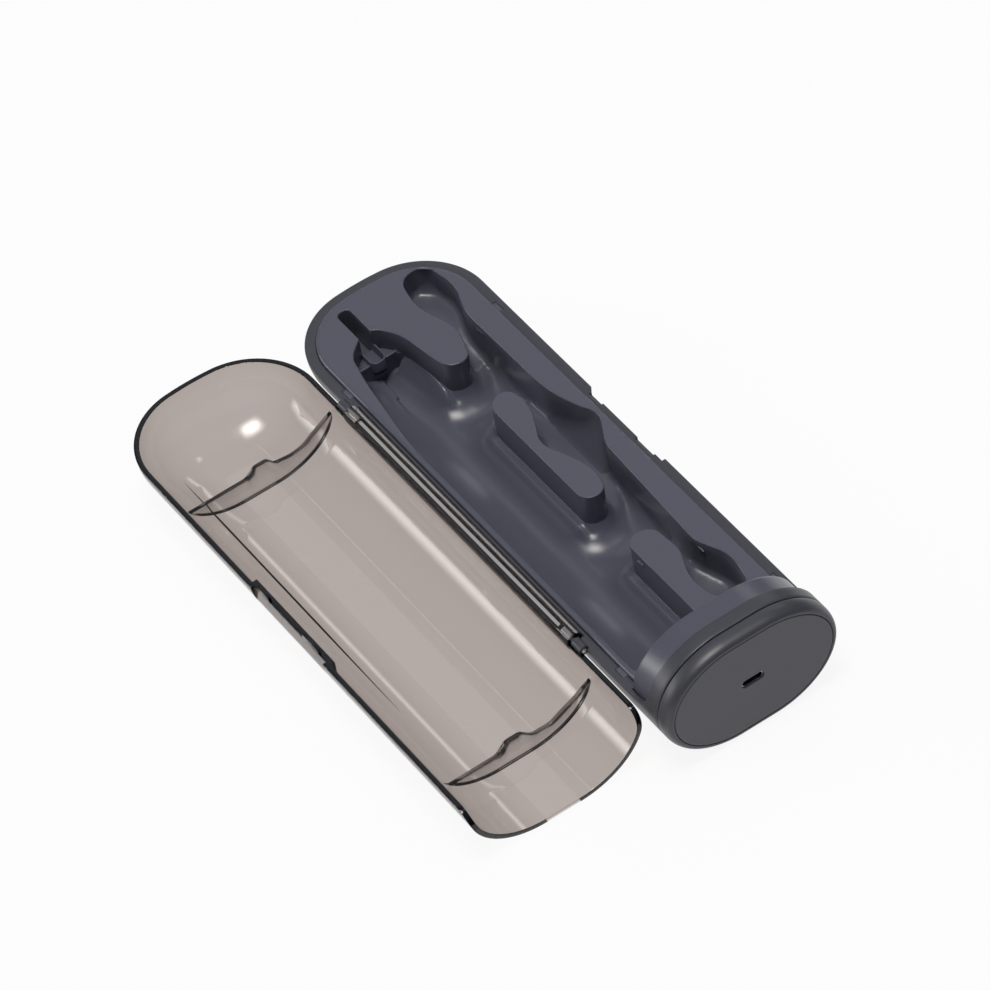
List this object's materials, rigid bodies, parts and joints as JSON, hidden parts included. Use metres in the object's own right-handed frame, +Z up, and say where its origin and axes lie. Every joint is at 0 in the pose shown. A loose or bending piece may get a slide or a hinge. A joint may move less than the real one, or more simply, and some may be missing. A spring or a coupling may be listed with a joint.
{
  "type": "electric toothbrush travel case",
  "caption": "Travel case for an electric toothbrush, open: dark tray with a moulded insert and a round charging foot, and a smoked clear lid hinged along one side.",
  "frame": {"origin": "on the ground under the middle of the hinge line, which is the middle of the open case's bounding box at its bottom", "axes": "+X along the case to the charging foot, +Y from the hinge line to the tray's free side, +Z up"},
  "size_m": [0.2486, 0.1456, 0.048],
  "materials": {
    "charcoal_shell": "satin charcoal moulding",
    "charcoal_insert": "satin charcoal moulding with a fine grain",
    "smoked_clear": "clear smoked moulding, polished",
    "pin_steel": "bright drawn wire",
    "plate_black": "smooth black",
    "port_steel": "plain",
    "port_black": "plain",
    "board_laminate": "solder resist",
    "chip_black": "plain",
    "capacitor_film": "dipped",
    "ferrite": "sintered",
    "coil_copper": "enamelled copper",
    "carrier_white": "natural nylon",
    "screw_steel": "zinc plated"
  },
  "bodies": {
    "case": {"tray_shell": "charcoal_shell", "tray_insert": "charcoal_insert", "hinge_pin_far": "pin_steel", "hinge_pin_foot": "pin_steel", "end_cap": "charcoal_shell", "end_plate": "plate_black", "usb_port_shell": "port_steel", "usb_port_tongue": "port_black", "charger_board": "board_laminate", "controller_chip": "chip_black", "coil_capacitor": "capacitor_film", "input_choke": "ferrite", "charging_coil": "coil_copper", "coil_core": "ferrite", "coil_carrier": "carrier_white", "coil_leads": "coil_copper", "board_screws": "screw_steel", "cap_screws": "screw_steel"},
    "lid": {"lid_shell": "smoked_clear"}
  },
  "joints": [
    {"name": "lid_hinge", "type": "hinge", "parent": "case", "child": "lid", "pos_m": [0, 0, 0.024], "axis": [-1, 0, 0], "range_deg": [0, 180]}
  ]
}
